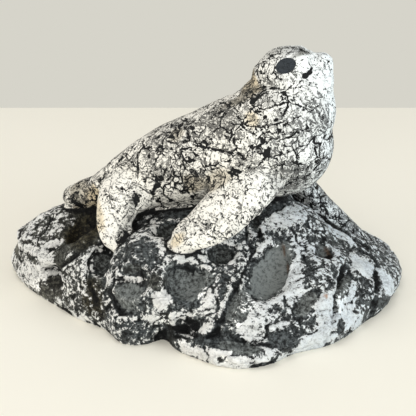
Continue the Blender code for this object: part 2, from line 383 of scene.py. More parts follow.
# edges where one lump of clay lies over the next: on one side of the path the clay stands up
# by rise, over the width of spread, and cut is the depth of the groove between; all in mm
laps = {
    "blockEdge": line(
        (254, 239), (250, 262), (240, 280), (231, 298), (226, 311), (214, 332), (204, 339),
        rise=-1.6, spread=7, cut=1.6,
    ),
    "blockFoot": line(
        (204, 339), (197, 334), (187, 328), (170, 327), (158, 335), (154, 342),
        rise=-1.4, spread=6, cut=1.2,
    ),
    "panEdge": line(
        (128, 277), (112, 280), (109, 292), (114, 305), (124, 318), rise=-1.2, spread=6, cut=0.9,
    ),
    "ridgeEdge": line(
        (100, 245), (89, 262), (88, 280), (92, 295), (98, 310), rise=-1.2, spread=6, cut=1.0,
    ),
    "lobeCut": line(
        (97, 237), (83, 248), (71, 258), (61, 266), (53, 274), rise=-0.8, spread=6, cut=2.0,
    ),
    "lobeStep": line((21, 239), (32, 243), (42, 247), (58, 249), rise=0.9, spread=5, cut=0.6),
    "curl": line(
        (28, 258), (37, 257), (43, 267), (52, 269), (57, 264), rise=0.4, spread=4, cut=0.8,
    ),
    "lipCut": line((246, 368), (262, 364), (274, 361), (280, 353), rise=0.5, spread=4, cut=1.0),
    "paleLedge": line(
        (265, 245), (273, 250), (284, 247), (289, 262), (287, 276), (281, 288),
        rise=1.3, spread=6, cut=0.8,
    ),
    "fold": line((257, 214), (259, 230), (263, 243), rise=1.2, spread=6, cut=1.0),
    "bandUnder": line(
        (228, 331), (239, 341), (254, 342), (267, 344), (284, 350), (299, 356),
        rise=0.9, spread=5, cut=0.6,
    ),
    "bandOver": line((264, 328), (275, 323), (293, 318), rise=-0.6, spread=4, cut=0.6),
    "endFold": line(
        (347, 262), (341, 280), (335, 296), (337, 310), (331, 330), rise=1.7, spread=5, cut=1.5,
    ),
    "endFoldTwo": line((375, 262), (377, 284), (375, 303), (372, 318), rise=1.4, spread=5, cut=1.4),
    "flipperUnder": line((356, 247), (374, 259), (380, 272), rise=1.0, spread=5, cut=1.2),
    "leaf": line(
        (316, 210), (330, 223), (344, 232), (356, 241), (374, 250), rise=1.4, spread=5, cut=1.4,
    ),
    "leafUnder": line((350, 236), (357, 244), (365, 247), rise=0.8, spread=4, cut=1.2),
    "shelf": line((331, 258), (337, 270), (333, 284), (322, 297), rise=0.8, spread=5, cut=0.4),
    "neckFold": line((256, 93), (264, 86.5), (275, 88.5), (290, 90), rise=0.0, spread=4, cut=0.5),
}
pressed = {
    "steep": 0.38,  # share of a hollow's depth that its steep side has and the other lacks
    "bowl": 3.2,  # how flat the floor is
    "lipAt": 1.12,  # the clay pushed up around it, as shares of its reach and of its depth
    "lipWidth": 0.14,
    "lipRise": 0.14,
    "lapFar": -0.35,  # what the low side of a lap does, as a share of its rise
    "lapGroove": 0.95,  # half width of the groove, mm
}


def axesOf(form):
    # middle, length and width vectors on the surface, and the way out of it
    at, out = figure.pick(form["at"])
    end, _ = figure.pick(form["end"])
    length = end - at
    length -= out * (length @ out)
    width = np.cross(out, length / np.linalg.norm(length)) * form["width"] / 2
    return at, length, width, out


def spreadOf(form, waver=0.17):
    # how far each point lies from the form's middle: 1 on its edge
    at, length, width, out = axesOf(form)
    away = figure.points - at
    u = away @ length / (length @ length)
    v = away @ width / (width @ width)
    depth = np.abs(away @ out) / max(np.linalg.norm(length), np.linalg.norm(width))
    spread = np.hypot(u, v) * (1 + waver * edgeNoise)
    return np.where(depth < 1.1, spread, 9.0), u, v  # 9 is out of reach, on another side


def lineGap(path):
    # distance from a line of picked points, which side of it a point is on, share of its length
    picked = [figure.pick(place) for place in path]
    best = np.full(figure.count, 1e3)
    side = np.zeros(figure.count)
    share = np.zeros(figure.count)
    for k, ((a, outA), (b, _)) in enumerate(zip(picked, picked[1:])):
        run = b - a
        along = np.clip((figure.points - a) @ run / (run @ run), 0, 1)
        away = figure.points - a - along[:, None] * run
        gap = np.linalg.norm(away, axis=1)
        nearer = gap < best
        best = np.where(nearer, gap, best)
        side = np.where(nearer, away @ np.cross(outA, run / np.linalg.norm(run)), side)
        share = np.where(nearer, (k + along) / (len(picked) - 1), share)
    return best, np.sign(side), share


edgeNoise = grainOf(figure.points, 9, 4)
figure.keepSurface()
panShare, panToneAndShade, rimWhite, cutShare, offset = np.zeros((5, figure.count))
for form in hollows.values():
    spread, u, v = spreadOf(form)
    tilt, toRim = 1.0, 0.0
    if "rim" in form:
        at, length, width, out = axesOf(form)
        wall = figure.pick(form["rim"])[0] - at
        wall = np.array([wall @ length / (length @ length), wall @ width / (width @ width)])
        wall /= np.linalg.norm(wall)
        toRim = np.clip(u * wall[0] + v * wall[1], -1, 1)
        tilt = 1 - pressed["steep"] + pressed["steep"] * toRim
    bowl = np.clip(1 - np.clip(spread, 0, 1) ** pressed["bowl"], 0, 1)
    lip = np.exp(-(((spread - pressed["lipAt"]) / pressed["lipWidth"]) ** 2))
    offset -= form["depth"] * bowl * tilt
    offset += pressed["lipRise"] * form["depth"] * lip
    floor = (1 - fade(0.46 + 0.3 * toRim, 1.05, spread)) * form.get("worn", 1)
    panShare = np.maximum(panShare, floor)
    # painted shade: the floor darkens towards the steep rim
    tone = form.get("tone", 0) - 0.7 * toRim * fade(0.2, 0.9, spread)
    panToneAndShade = panToneAndShade * (1 - floor) + tone * floor
    rimWhite = np.maximum(rimWhite, lip)
for form in lumps.values():
    spread, u, v = spreadOf(form)
    offset += form["depth"] * (1 - fade(0.2, 1.1, spread))
for form in laps.values():
    gap, side, share = lineGap(form["path"])
    ends = fade(0, 0.12, share) * fade(0, 0.12, 1 - share)
    rise = form["rise"] * np.where(side > 0, 1, pressed["lapFar"])
    rise *= 1 - fade(0, form["spread"], gap)
    cut = np.exp(-((gap / pressed["lapGroove"]) ** 2))
    offset += (rise - form["cut"] * cut) * ends
    cutShare = np.maximum(cutShare, cut * ends * min(form["cut"], 1))
figure.push(figure.soften(offset, 1))
figure.refresh()
print("hollows, lumps and laps")

# the wide cracks that tear the seal's white paint, px; width in mm at their widest
cracks = {
    "plate": line(
        (164, 139), (171.6, 126), (179, 124), (185, 127), (188.5, 132), (189.6, 140.5), width=0.9,
    ),
    "plateFoot": line((189.6, 141), (181, 143), (171.6, 143), (164, 139), width=1.0),
    "plateTear": line((186.5, 132), (188.5, 136), (189.5, 140), width=2.3),
    "flankTop": line(
        (189.6, 143), (196, 145.3), (211, 148.6), (225, 151.8), (237, 153.5), (244, 158),
        width=1.5,
    ),
    "flankTopEnd": line((238, 152), (241.4, 156), (244, 162), width=2.2),
    "flankTick": line((186, 145), (191, 150), (196, 155), (202, 157), width=1.2),
    "flankTear": line((230, 166), (234, 171.5), (242, 172), width=2.4),
    "backTear": line((203, 140), (206, 143), width=1.9),
    "hipLine": line((137.3, 145), (137.6, 158), (138, 171), (136.5, 189), width=1.2),
    "hipSpot": line((146, 153), (150, 158), width=2.2),
    "hipEdge": line((122, 167), (131, 158), (140, 147), (146, 139), width=0.8),
    "thighTear": line((167, 168), (162, 178), (158, 186), (153, 192.5), (153, 201), width=2.2),
    "thighTearTwo": line((154, 172), (157.5, 181), (153, 191), width=1.6),
    "thighFork": line((167, 169), (171, 177), (167, 181), width=1.6),
    "bellyLine": line((179, 155), (181, 163), (180, 171), (182, 180), (185, 192), width=0.9),
    "bellyLink": line((186, 168), (194, 170.6), (200, 175), width=1.0),
    "flankLink": line((211, 152), (210, 161.6), (211, 170), (226, 166), width=1.0),
    "shoulderLine": line(
        (235, 105), (238.6, 118), (243, 127), (251.5, 133), (262, 138.5), width=1.2,
    ),
    "shoulderSpot": line((260, 139), (266, 142), width=2.9),
    "chestLine": line(
        (254, 173), (258, 166), (264, 159), (271, 155.7),
        (277, 156), (287, 153), (299, 147), (315, 140), width=1.2,
    ),
    "chestArc": line((284, 136), (290, 133), (301, 130.5), (312, 131.5), (318, 136), width=0.8),
    "chestSide": line((331, 151), (324, 158.6), (317, 167), (310, 174), (301, 182), width=1.5),
    "chestTick": line((314, 146), (316, 152), (318, 157), width=1.6),
    "chestSpots": line((296, 168), (300, 171.5), (304, 170), width=1.9),
    "neckTick": line((251, 108), (257, 113), (263, 116), width=1.4),
    "neckLong": line((246, 100), (250, 108), (251, 117), width=0.8),
    "jawFold": line((256, 92), (265, 86.5), (276, 88.5), (289, 90), width=0.5),
    "jawLine": line((304, 77), (300, 82), (296, 87), (294, 91), width=0.6),
    "hindPatch": line((134, 192), (137, 199), (135.5, 208), width=4.2),
    "hindArc": line((96, 200), (104, 195), (116, 192), (128, 195), (136, 201), width=0.7),
    "hindToe": line((129, 231), (123, 238), (117, 247), width=4.6),
    "browLine": line((297, 49.5), (303, 53), (311, 56), width=3.2),
    "crownLine": line((262, 64), (268, 57), (276, 52), (286, 49), width=1.2),
    "tailUnder": line((68, 199), (78, 205), (93, 208), width=5),
}
crackDepth = 0.35

crackReach = np.full(figure.count, 3.0)  # 1 is a crack's edge
for form in cracks.values():
    gap, side, share = lineGap(form["path"])
    taper = 0.35 + 0.65 * fade(0, 0.3, share) * fade(0, 0.3, 1 - share)
    crackReach = np.minimum(crackReach, gap / (form["width"] / 2) / taper)
figure.push(-crackDepth * (1 - fade(0.6, 1.6, crackReach)))
figure.refresh()
print("cracks")

# ---- the grain of the clay: rugged on the rock, faint thumb marks on the seal
grain = {
    "rockWide": (11.0, 0.75),  # widest wave and height, mm
    "rockFine": (3.6, 0.45),
    "sealWide": (14.0, 0.30),
    "panSmooth": 0.93,  # share of the grain that a hollow's floor lacks
    "junctionDepth": 0.9,  # the groove where the seal lies on the rock
    "junctionReach": 1.1,
    "creaseSpan": 15.0,  # how far apart the rock's creases are, how wide as a share, how deep
    "creaseShare": 0.10,
    "creaseDepth": 0.8,
}
onRock = fade(0.2, 2.2, sealGap)
rough = onRock * (1 - grain["panSmooth"] * panShare)
wide = grainOf(figure.points, grain["rockWide"][0], 5, 3.0)
fine = grainOf(figure.points, grain["rockFine"][0], 4, 7.0, 0.7)
soft = grainOf(figure.points, grain["sealWide"][0], 2, 11.0)
folds = np.abs(grainOf(figure.points, grain["creaseSpan"], 3, 19.0, 0.8))
folds = (1 - fade(0.0, grain["creaseShare"], folds)) * onRock * (1 - panShare)
crease = np.exp(-(((sealGap - 1.0) / grain["junctionReach"]) ** 2))
crease *= figure.points[:, 2] > 4
relief = rough * (grain["rockWide"][1] * wide + grain["rockFine"][1] * fine)
relief -= grain["creaseDepth"] * folds
relief += (1 - onRock) * grain["sealWide"][1] * soft - grain["junctionDepth"] * crease
figure.push(relief)
figure.refresh()
print("grain")

# ---- where the paint goes: one number for each point of the clay
# white is how much more the dry brush left on, or less; brushed shows its strokes. The warm tint is
# brown on the rock, partly painted warm shade, and on the seal painted warm shade and warm bounce
# light; the grey over the white is painted shade at the nape, back edge, brow, chest, belly and
# hind flipper, and grime elsewhere; and hatch is scratches in it.
patches = {
    "lobeTop": oval((40, 226), (62, 222), width=26, white=0.22),
    "lobeFace": oval((35, 264), (55, 258), width=26, white=1.5, brushed=1),
    "curlDark": oval((33, 260), (42, 267), width=3.5, white=-3),
    "lobeSide": oval((60, 257), (64, 250), width=9, white=-2.5),
    "recessCrumbs": oval((75, 226), (77, 236), width=6, white=0.9),
    "lobeCorner": oval((56, 244), (64, 242), width=7, white=1.4),
    "lobeFoot": oval((26, 281), (40, 292), width=8, white=0.75, brushed=1),
    "panRim": oval((62, 280), (68, 294), width=7, white=1.2),
    "baseLeft": oval((84, 320), (106, 331), width=8, white=0.9),
    # painted warm bounce light on the left of the neck
    "neckWarm": oval((256, 80), (252, 98), width=8, warm=0.9),
    "neckPlate": oval((252, 119), (257, 129), width=8, warm=0.7),
    # painted shade at the nape, grey and tan
    "napeShade": oval((242, 96), (222, 107), width=9, warm=0.5, grime=0.8),
    "napeHatch": oval((222, 117), (240, 104), width=24, hatch=0.9, grime=0.3),
    "neckHatch": oval((253, 90), (250, 112), width=12, hatch=0.6),
    # painted shade under the chest, with scratches
    "chestHatch": oval((290, 180), (315, 165), width=22, hatch=1.0, grime=0.35),
    "backHatch": oval((180, 131), (215, 117), width=18, hatch=0.6, grime=0.15),
    "bellyHatch": oval((196, 180), (210, 192), width=16, hatch=0.8),
    # painted shade along the upper back edge
    "backEdge": oval((186, 113), (150, 131), width=9, grime=0.65),
    # painted shade under the brow step
    "browGrime": oval((303, 53.5), (310, 54.5), width=4, grime=0.9),
    "tailGrime": oval((78, 191), (92, 197), width=16, warm=0.45, grime=0.5, hatch=0.5),
    "throatHatch": oval((318, 108), (322, 134), width=16, hatch=0.8, grime=0.1),
    # painted cool shade on the hind flipper's lower right, with scratches
    "hindShade": oval((129, 215), (121, 244), width=7, grime=0.3, hatch=1.0),
    # painted warm shade along the edges of both near flippers
    "hindWarm": oval((99, 214), (104, 236), width=5, warm=0.7),
    "foreWarm": oval((176, 241), (186, 232), width=6, warm=0.7),
    # painted shade under the belly and in the armpit, grey and tan
    "bellyFold": oval((194, 184), (197, 172), width=13, warm=0.6, grime=0.5),
    "armpit": oval((216, 182), (230, 172), width=11, warm=0.5, grime=0.3),
    "plateGrime": oval((176, 134), (184, 134), width=9, warm=0.4, grime=0.35),
    "headGrime": oval((284, 50), (264, 60), width=9, grime=0.5, hatch=0.9),
    "crownGrime": oval((296, 50), (304, 52), width=6, grime=0.4, hatch=0.9),
    "napeSide": oval((250, 84), (243, 94), width=8, warm=0.8, grime=0.4, hatch=0.9),
    "jawGrime": oval((272, 100), (276, 106), width=9, grime=0.35),
    # the recess is partly painted shade, dark and brown
    "recessDark": oval((80, 238), (70, 260), width=22, white=-1.6, warm=1),
    "ridgeBrown": oval((92, 300), (100, 326), width=16, white=-0.15, warm=1),
    "ridgeRim": oval((92, 262), (97, 246), width=5, white=1.2),
    "ridgeTop": oval((99, 248), (104, 244), width=5, white=1.5),
    "leftPanRim": oval((127, 280), (149, 280), width=4, white=1.4),
    "blockDark": oval((136, 257), (156, 262), width=20, white=-0.7),
    "blockPale": oval((160, 300), (167, 309), width=9, white=1.7, warm=0.5),
    "longDust": oval((262, 300), (276, 284), width=14, white=0.45, brushed=0.8),
    "blockBand": oval((166, 320), (194, 316), width=8, white=1.1),
    "blockBrown": oval((155, 282), (158, 271), width=10, white=-0.8, warm=0.5),
    "craterLow": oval((184, 304), (202, 305), width=9, white=-0.9),
    "blockMiddle": oval((146, 302), (150, 292), width=8, white=-0.6),
    "craterSide": oval((219, 280), (226, 262), width=9, white=-0.4),
    "craterTop": oval((190, 258), (208, 251), width=9, white=0.5),
    "craterRight": oval((210, 300), (214, 318), width=12, white=0.6),
    "blockToe": oval((205, 329), (213, 322), width=8, white=1.2),
    "footDark": oval((128, 333), (152, 330), width=14, white=-0.55),
    "pitDark": oval((167, 231), (178, 220), width=14, white=-1.4),
    "pitRidge": oval((155, 232), (158, 220), width=6, white=0.9),
    # painted shade on the rock under the belly, where the dry brush is left off
    "bellyShade": oval((178, 209), (198, 206), width=12, white=-1.6),
    "panWall": oval((293, 280), (289, 306), width=13, white=1.5, brushed=1),
    "slabGrey": oval((306, 268), (312, 284), width=12, white=-0.5, brushed=0.7),
    "slab": oval((252, 318), (272, 306), width=20, white=0.3, brushed=0.6),
    "slabBand": oval((252, 335), (268, 338), width=9, white=1.3, brushed=0.6),
    "slabBandTwo": oval((280, 325), (294, 320), width=8, white=1.4),
    "slabDark": oval((283, 338), (299, 346), width=10, white=-1.2),
    "lip": oval((232, 364), (268, 362), width=12, white=1.2),
    "lipLeft": oval((190, 352), (206, 358), width=9, white=1),
    "lipRight": oval((288, 362), (306, 358), width=9, white=0.9),
    "channelDark": oval((225, 343), (262, 352), width=10, white=-1.5),
    "slabTop": oval((284, 217), (308, 211), width=14, white=1.2, brushed=1),
    "slabEdge": oval((268, 212), (288, 203), width=6, white=-1.6),
    "slabSide": oval((302, 246), (304, 232), width=16, white=0.68, brushed=0.8),
    "slabShade": oval((305, 276), (312, 270), width=8, white=-0.66),
    "endWhite": oval((328, 312), (322, 334), width=15, white=1.7, brushed=0.4),
    "endWhiteTwo": oval((350, 302), (346, 318), width=11, white=1.4),
    "endWhiteLow": oval((318, 342), (340, 330), width=10, white=1.6),
    "rightFoot": oval((318, 342), (302, 352), width=10, white=1.3),
    "rightFootTwo": oval((352, 322), (364, 328), width=10, white=1.3),
    "endDark": oval((341, 326), (339, 316), width=8, white=-2),
    "endDarkTwo": oval((365, 317), (366, 310), width=5, white=-2),
    "endDarkThree": oval((384, 302), (391, 300), width=7, white=-2),
    "knobWhite": oval((362, 266), (373, 266), width=18, white=2.3),
    "knobWhiteTwo": oval((389, 284), (390, 298), width=15, white=2.4),
    "leafWhite": oval((340, 234), (360, 246), width=12, white=1.5, brushed=0.6),
}
rustSpots = {
    "ledge": oval((284, 251), (285, 257), width=1.6),
    "ledgeLow": oval((287, 268), (287, 274), width=1.6),
    "rightCrater": oval((329, 255), (330, 260), width=2.6),
    "slopeEdge": oval((326, 296), (327, 299), width=2),
}
whiteHand, brushed, warm, grime, hatched = np.zeros((5, figure.count))
for form in patches.values():
    spread, u, v = spreadOf(form, 0.3)
    share = 1 - fade(0.55, 1.15, spread)
    whiteHand += form.get("white", 0) * share
    brushed = np.maximum(brushed, form.get("brushed", 0) * share)
    warm = np.maximum(warm, form.get("warm", 0) * share)
    grime = np.maximum(grime, form.get("grime", 0) * share)
    hatched = np.maximum(hatched, form.get("hatch", 0) * share)

# the dry brush catches what stands up, by finer and by wider relief, and misses the rest
brushing = {
    "finePasses": 8,
    "fineHeight": 0.08,  # mm that already count as full height
    "fineWhite": 0.5,
    "widePasses": 110,
    "wideHeight": 0.8,
    "wideWhite": 0.28,
    "rims": 0.35,
    "pans": -0.85,
    "cuts": -1.4,
    "creases": -0.7,
}


def standing(passes):
    # how far each point stands out of the surface softened so many times, in mm
    away = figure.points - figure.soften(figure.points, passes)
    return np.einsum("ij,ij->i", away, figure.normals)


reliefFine, reliefWide = standing(brushing["finePasses"]), standing(brushing["widePasses"])
dryBrush = brushing["fineWhite"] * np.tanh(reliefFine / brushing["fineHeight"])
dryBrush += brushing["wideWhite"] * np.tanh(reliefWide / brushing["wideHeight"])
dryBrush += whiteHand + brushing["rims"] * rimWhite + brushing["pans"] * panShare
dryBrush += brushing["cuts"] * cutShare + brushing["creases"] * folds
# painted shade and black wash: the clay goes dark in hollows, creases, cuts and the groove where
# the seal lies on the rock
cavityWashAndShade = fade(0.1, 1.4, -reliefWide) + 0.8 * cutShare + 0.6 * folds + crease

rust = np.zeros(figure.count)
for form in rustSpots.values():
    rust = np.maximum(rust, 1 - fade(0.5, 1.2, spreadOf(form, 0.6)[0]))

# the eyes: an oval drawn on each side of the head, told by its reach
eyes = oval((285.8, 65.2), (296.0, 61.6), width=7.9, sink=0.5)
faceMarks = {
    "mouth": oval((305.4, 75.8), (308.4, 74.4), width=3.2),
    "mouthCorner": oval((309.6, 72.6), (312.2, 71), width=2.6),
    "lipDot": oval((310, 82.9), (311.6, 82.4), width=1.1),
    "cheekTick": oval((281, 79.4), (283, 79), width=1.2),
    "nostril": oval((328.6, 61.6), (330, 61.0), width=1.2),
    "whiskerDot": oval((311.5, 68.5), (313, 67.6), width=1.2),
    "cheekDot": oval((265, 117), (267.6, 116.4), width=2.4),
    "neckDot": oval((276, 120), (278.6, 119), width=2.2),
    "chinDot": oval((302, 60), (303.5, 59), width=0.8),
}
midline = 8.5  # the seal's left and right sides mirror about this y, in mm


def mirrored(form):
    # the same form on the side of the head that the camera doesn't see
    far = dict(form)
    for key in ("at", "end"):
        x, y, z = figure.pick(form[key])[0]
        far[key] = (x, 2 * midline - y, z)
    return far


eyeReach = np.minimum(spreadOf(eyes, 0)[0], spreadOf(mirrored(eyes), 0)[0])
markReach = np.minimum.reduce(
    [spreadOf(f, 0.25)[0] for form in faceMarks.values() for f in (form, mirrored(form))]
)
figure.push(-eyes["sink"] * (1 - fade(0.86, 1.02, eyeReach)))
figure.refresh()

# how crackled the white paint is, 0 to 1: less on the near flippers and the muzzle
crackled = {
    "body": 0.74,
    "flank": 0.02,  # more than on the body, and so on
    "flippers": -0.50,
    "muzzle": -0.50,
    # more crackle on the far front flipper, partly as painted shade
    "shadedFarFlipper": 0.35,
    "farFlipperTop": 52,  # mm above the table
    "flankAt": (-2, -6, 68),
    "flankReach": (42, 30, 20),
    "muzzleAt": (60, 8, 118),
}
flippers = np.minimum(limbGaps["nearFrontFlipper"], limbGaps["nearHindFlipper"])
muzzle = np.linalg.norm(figure.points - crackled["muzzleAt"], axis=1)
flank = np.linalg.norm((figure.points - crackled["flankAt"]) / crackled["flankReach"], axis=1)
# the far front flipper, below its top, gets more crackle as painted shade
shadedFarFlipper = 1 - fade(-1, 2, limbGaps["farFrontFlipper"])
shadedFarFlipper *= figure.points[:, 2] < crackled["farFlipperTop"]
crackle = crackled["body"] + crackled["flank"] * (1 - fade(0.4, 1.4, flank))
crackle += crackled["flippers"] * (1 - fade(-2, 2, flippers))
crackle += crackled["muzzle"] * (1 - fade(14, 34, muzzle))
crackle += crackled["shadedFarFlipper"] * shadedFarFlipper

figure.closeSole()
for name, values in {
    "rockShare": fade(0.1, 1.5, sealGap),
    "dryBrush": dryBrush,
    "panShare": panShare,
    "brushed": brushed,
    "seam": cutShare,
    "grime": grime,
    "hatched": hatched,
    "panToneAndShade": panToneAndShade,
    "crackReach": crackReach,
    "warm": warm,
    "rust": rust,
    "cavityWashAndShade": cavityWashAndShade,
    "crackle": crackle,
    "eyeReach": np.clip(eyeReach, 0, 3),
    "markReach": np.clip(markReach, 0, 3),
}.items():
    figure.note(name, values)
for polygon in figure.obj.data.polygons:
    polygon.use_smooth = abs(polygon.normal.z) < 0.999 or polygon.center.z > 0.0005
print("paint placed", len(figure.obj.data.polygons), "faces")


# ---- paint
def shade(*seen):
    # red, green and blue as seen, 0 to 255, turned to the linear values that nodes take
    return (*[((c / 255 + 0.055) / 1.055) ** 2.4 for c in seen], 1.0)


class Value:
    # a number socket that sums can be written with
    def __init__(self, maker, socket):
        self.maker, self.socket = maker, socket

    def sum(self, operation, one, two=None):
        return self.maker.node("ShaderNodeMath", {"operation": operation}, {0: one, 1: two})

    def __add__(self, other):
        return self.sum("ADD", self, other)

    def __sub__(self, other):
        return self.sum("SUBTRACT", self, other)

    def __rsub__(self, other):
        return self.sum("SUBTRACT", other, self)

    def __mul__(self, other):
        return self.sum("MULTIPLY", self, other)

    __radd__, __rmul__ = __add__, __mul__

    def most(self, other):
        return self.sum("MAXIMUM", self, other)

    def least(self, other):
        return self.sum("MINIMUM", self, other)

    def step(self, low, high):
        # 0 below low, 1 above high, and soft between; the other way round if low > high
        return self.maker.node(
            "ShaderNodeMapRange", {"interpolation_type": "SMOOTHSTEP"},
            {"Value": self, "From Min": low, "From Max": high},
        )


class Maker:
    # the nodes of one material or world
    def __init__(self, owner):
        owner.use_nodes = True
        self.tree = owner.node_tree
        self.shader = self.tree.nodes.get("Principled BSDF")

    def node(self, kind, settings=None, sockets=None, out=0):
        made = self.tree.nodes.new(kind)
        made.location = (-220 * (len(self.tree.nodes) % 12), -180 * (len(self.tree.nodes) // 12))
        for key, value in (settings or {}).items():
            setattr(made, key, value)
        for key, value in (sockets or {}).items():
            if value is not None:
                self.feed(made.inputs[key], value)
        return Value(self, made.outputs[out])

    def feed(self, socket, value):
        if isinstance(value, Value):
            self.tree.links.new(value.socket, socket)
        else:
            socket.default_value = value

    def note(self, name):
        return self.node("ShaderNodeAttribute", {"attribute_name": name}, out="Fac")

    def noise(self, place, size, detail=3.0, roughness=0.5, distortion=0.0, out=0):
        # size is the widest wave, in mm
        return self.node(
            "ShaderNodeTexNoise", {},
            {"Vector": place, "Scale": 1 / size, "Detail": detail, "Roughness": roughness,
             "Distortion": distortion}, out,
        )

    def moved(self, place, by, scale):
        # place shifted by a colour noise, scale in mm
        away = self.vector("SUBTRACT", by, (0.5, 0.5, 0.5))
        return self.vector("ADD", place, self.vector("SCALE", away, scale=scale))

    def vector(self, operation, one, two=None, scale=None):
        return self.node(
            "ShaderNodeVectorMath", {"operation": operation}, {0: one, 1: two, 3: scale}
        )

    def mix(self, share, one, two, blend="MIX"):
        sockets = {0: share, 6: one, 7: two}
        return self.node("ShaderNodeMix", {"data_type": "RGBA", "blend_type": blend}, sockets, 2)

    def blend(self, share, one, two):
        # between two numbers
        return self.node("ShaderNodeMix", {"data_type": "FLOAT"}, {0: share, 2: one, 3: two}, 0)

    def edges(self, place, size):
        # distance from the edges of cells that are about size wide, both in mm
        cells = self.node(
            "ShaderNodeTexVoronoi", {"feature": "DISTANCE_TO_EDGE"},
            {"Vector": place, "Scale": 1 / size}, "Distance",
        )
        return cells * size

    def cells(self, place, size):
        # two numbers of its own for each of the same cells
        sockets = {"Vector": place, "Scale": 1 / size}
        colour = self.node("ShaderNodeTexVoronoi", {}, sockets, "Color")
        return [self.node("ShaderNodeSeparateColor", {}, {"Color": colour}, k) for k in range(2)]


sealPaint = {
    "white": shade(238, 238, 233),
    # painted warm light on the seal's left
    "warmLight": shade(232, 223, 204),
    # painted warm shade and warm bounce light on the seal
    "tanShade": shade(216, 200, 168),
    # painted cool light on the seal's right
    "coolLight": shade(216, 227, 233),
    # grey over the white: stains, and painted shade where the grey patches are marked
    "washAndShade": shade(100, 99, 92),
    "crack": shade(16, 17, 18),
    "eye": shade(48, 53, 58),
}
rockPaint = {
    # the hollows' dark clay, and their painted shade
    "panDarkAndShade": shade(24, 25, 24),
    "panLight": shade(126, 131, 129),
    "clay": shade(24, 26, 27),
    "clayLight": shade(104, 110, 111),
    # the black wash and painted shade of the hollows
    "deepWashAndShade": shade(14, 15, 16),
    "white": shade(252, 251, 247),
    "dull": shade(236, 238, 234),
    # painted cool light on the rock's east side
    "coolLight": shade(230, 241, 248),
    # tinted with it: the clay's brown, and painted warm shade where the rock is in shade
    "brownTintAndShade": shade(226, 204, 162),  # clay is tinted with it
    "rust": shade(178, 112, 52),
}
# the seal's crackle. Plates, chips and flecks are its three sizes of cell, mm; each gap holds how
# far from a cell's edge the paint is whole, and where it is gone
crazing = {
    "plates": 10.0,
    "plateGap": (0.18, 0.03),
    "chips": 4.4,
    "chipGap": (0.13, 0.0),
    "flecks": 2.3,
    "fleckGap": (0.09, -0.02),
    "fleckDark": 0.6,
    "swell": 2.5,  # how much the cracks widen and close, over the seal
    "fray": 1.5,  # and along their edges
    "handFray": 3.2,  # the same for the listed cracks
    "specks": 1.6,
    "speckShare": (0.613, 0.633),
    "scratches": 1.0,
    "scratchShare": (0.54, 0.565),
    "scratchDark": 0.8,
    "scratchLong": 0.22,
    "scratchTurn": -53,  # degrees; the brush went up along the neck and the back
}
# the rock's dry brush: widest waves of its noises, mm, and how strong each is
brushwork = {
    "lumps": (5.5, 1.0),
    "worms": (2.3, 4.2),
    "crumbs": (1.7, 3.4),
    "clouds": (15.0, 0.8),
    "strokes": (1.15, 7.0),
    "strokeLong": 0.16,
    "bare": 0.42,  # how much of it is left bare
    "edge": 0.24,  # softness of the white's edge
    "thin": 0.07,  # a thin haze of white around it
    "pores": 0.3,
    "brushedPores": 0.25,
    # painted light: west of here the rock takes on painted warm shade, and east of here the white
    # takes on painted cool light
    "westWarmShade": (-52, -74),  # mm; the rock turns brown from here to here
    "eastCoolLight": (0, 70),
    # deepest is how far the painted shade and wash in the hollows darken the clay
    "deepest": 0.95,
}


